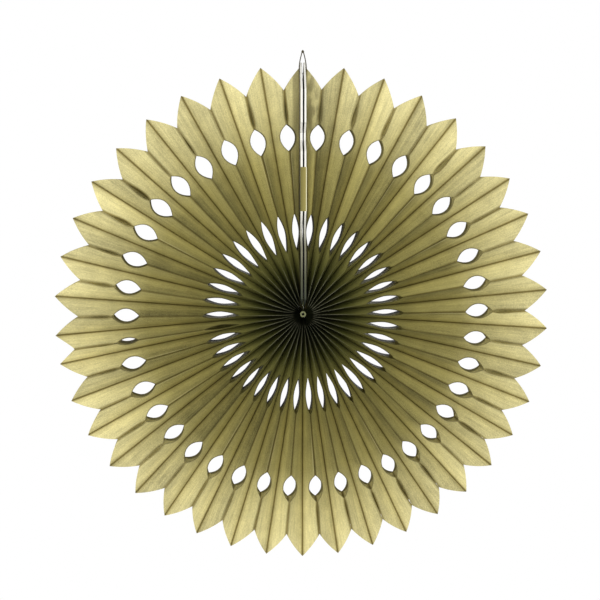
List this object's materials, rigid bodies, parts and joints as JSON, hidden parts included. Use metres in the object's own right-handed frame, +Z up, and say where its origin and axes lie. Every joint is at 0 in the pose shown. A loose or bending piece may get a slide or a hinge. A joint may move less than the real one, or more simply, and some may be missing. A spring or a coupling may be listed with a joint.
{
  "type": "paper fan medallion",
  "caption": "Round hanging party fan of pleated tissue petals with pointed rim and lens-shaped cut-outs, closed at a card-backed seam and hung from a thread loop.",
  "frame": {"origin": "centre of the hub, half way through the fan's depth", "axes": "-Y is the front the picture shows, +Z up along the seam towards the hanging loop, +X to the viewer's right"},
  "size_m": [0.3991, 0.0369, 0.4112],
  "materials": {
    "gold_tissue": "matte gold-khaki tissue paper",
    "white_card": "matte white cardboard",
    "gold_band": "matte gold-khaki paper",
    "tie_thread": "matte khaki thread",
    "hanging_thread": "dark twisted thread"
  },
  "bodies": {
    "root": {"tissue_petals": "gold_tissue", "end_card_left": "white_card", "end_card_right": "white_card", "closing_band": "gold_band", "centre_tie": "tie_thread", "hanging_thread": "hanging_thread"}
  },
  "joints": []
}
